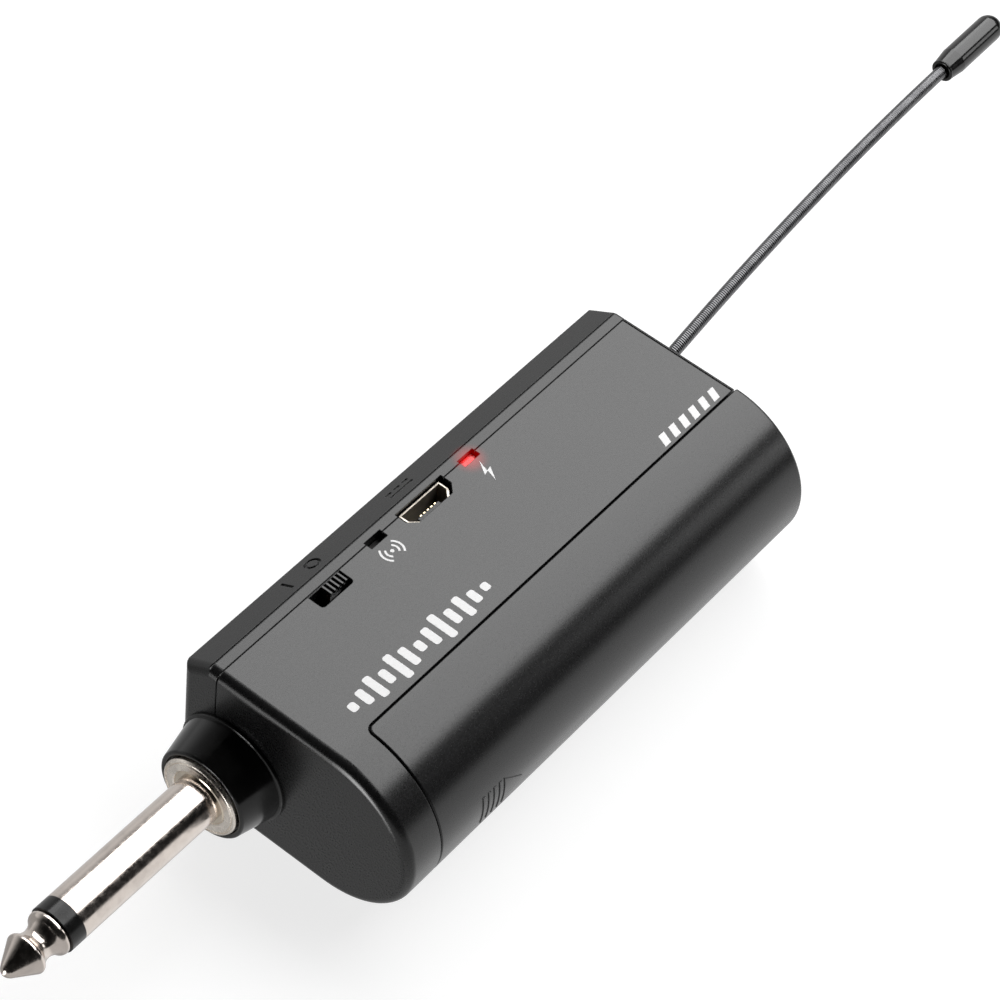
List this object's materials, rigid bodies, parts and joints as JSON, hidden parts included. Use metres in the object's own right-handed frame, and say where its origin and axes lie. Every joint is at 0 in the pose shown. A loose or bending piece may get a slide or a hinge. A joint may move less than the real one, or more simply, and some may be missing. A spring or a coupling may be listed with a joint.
{
  "type": "wireless guitar transmitter",
  "caption": "Plug-on wireless unit for a guitar: phone plug at one end, whip antenna at the other, side switch, lights, USB charging socket and sliding battery door.",
  "frame": {"origin": "on the plug's axis, at the shoulder where the sleeve meets its flange", "axes": "+X along the plug's axis from the plug towards the antenna, +Y out of the flat side wall, +Z out of the control face"},
  "size_m": [0.1944, 0.0348, 0.0261],
  "materials": {
    "housing_plastic": "fine satin texture",
    "gloss_plastic": "polished",
    "nickel": "polished nickel plate",
    "brass": "polished",
    "insulator": "satin",
    "fibre": "matt",
    "zinc_steel": "zinc plate",
    "tinned_metal": "tin plate",
    "gold": "gold plate",
    "moulded_black": "satin",
    "cell_sleeve": null,
    "board": "solder mask",
    "dark_lens": "unlit light",
    "red_lens": "lit light",
    "ceramic": "ceramic",
    "can_aluminium": "drawn can",
    "lead_red": "wire insulation",
    "lead_black": "wire insulation",
    "whip": "black finish on close-wound steel wire",
    "bush_rubber": "matt"
  },
  "bodies": {
    "housing": {"main_shell": "housing_plastic", "side_shell": "housing_plastic", "plug_collar": "gloss_plastic", "antenna_cap": "gloss_plastic", "plug_tip": "nickel", "plug_sleeve": "nickel", "plug_flange": "nickel", "plug_seat_ring": "brass", "antenna_socket": "brass", "plug_insulator": "insulator", "plug_rear_insulator": "fibre", "switch_base": "fibre", "plug_washer": "zinc_steel", "plug_nut": "zinc_steel", "housing_screws": "zinc_steel", "board_screws": "zinc_steel", "switch_frame": "zinc_steel", "radio_shield": "zinc_steel", "crystal_can": "zinc_steel", "battery_positive_cap": "zinc_steel", "plug_tip_lug": "tinned_metal", "plug_ground_lug": "tinned_metal", "negative_contact": "tinned_metal", "positive_contact": "tinned_metal", "usb_shell": "tinned_metal", "usb_contacts": "gold", "usb_tongue": "moulded_black", "audio_chip": "moulded_black", "charger_chip": "moulded_black", "charge_coil": "moulded_black", "battery_cell": "cell_sleeve", "circuit_board": "board", "rf_light": "dark_lens", "charge_light": "red_lens", "ceramic_capacitors": "ceramic", "chip_resistors": "ceramic", "can_capacitors": "can_aluminium", "battery_lead_positive": "lead_red", "plug_signal_lead": "lead_red", "battery_lead_negative": "lead_black", "plug_ground_lead": "lead_black", "antenna_lead": "lead_black", "antenna_whip": "whip", "antenna_bush": "bush_rubber"},
    "door": {"battery_door": "housing_plastic"},
    "switch": {"switch_knob": "moulded_black"}
  },
  "joints": [
    {"name": "switch_slide", "type": "slide", "parent": "housing", "child": "switch", "axis": [-1, 0, 0], "range_m": [0, 0.002]},
    {"name": "door_slide", "type": "slide", "parent": "housing", "child": "door", "axis": [1, 0, 0], "range_m": [0, 0.0715]}
  ]
}
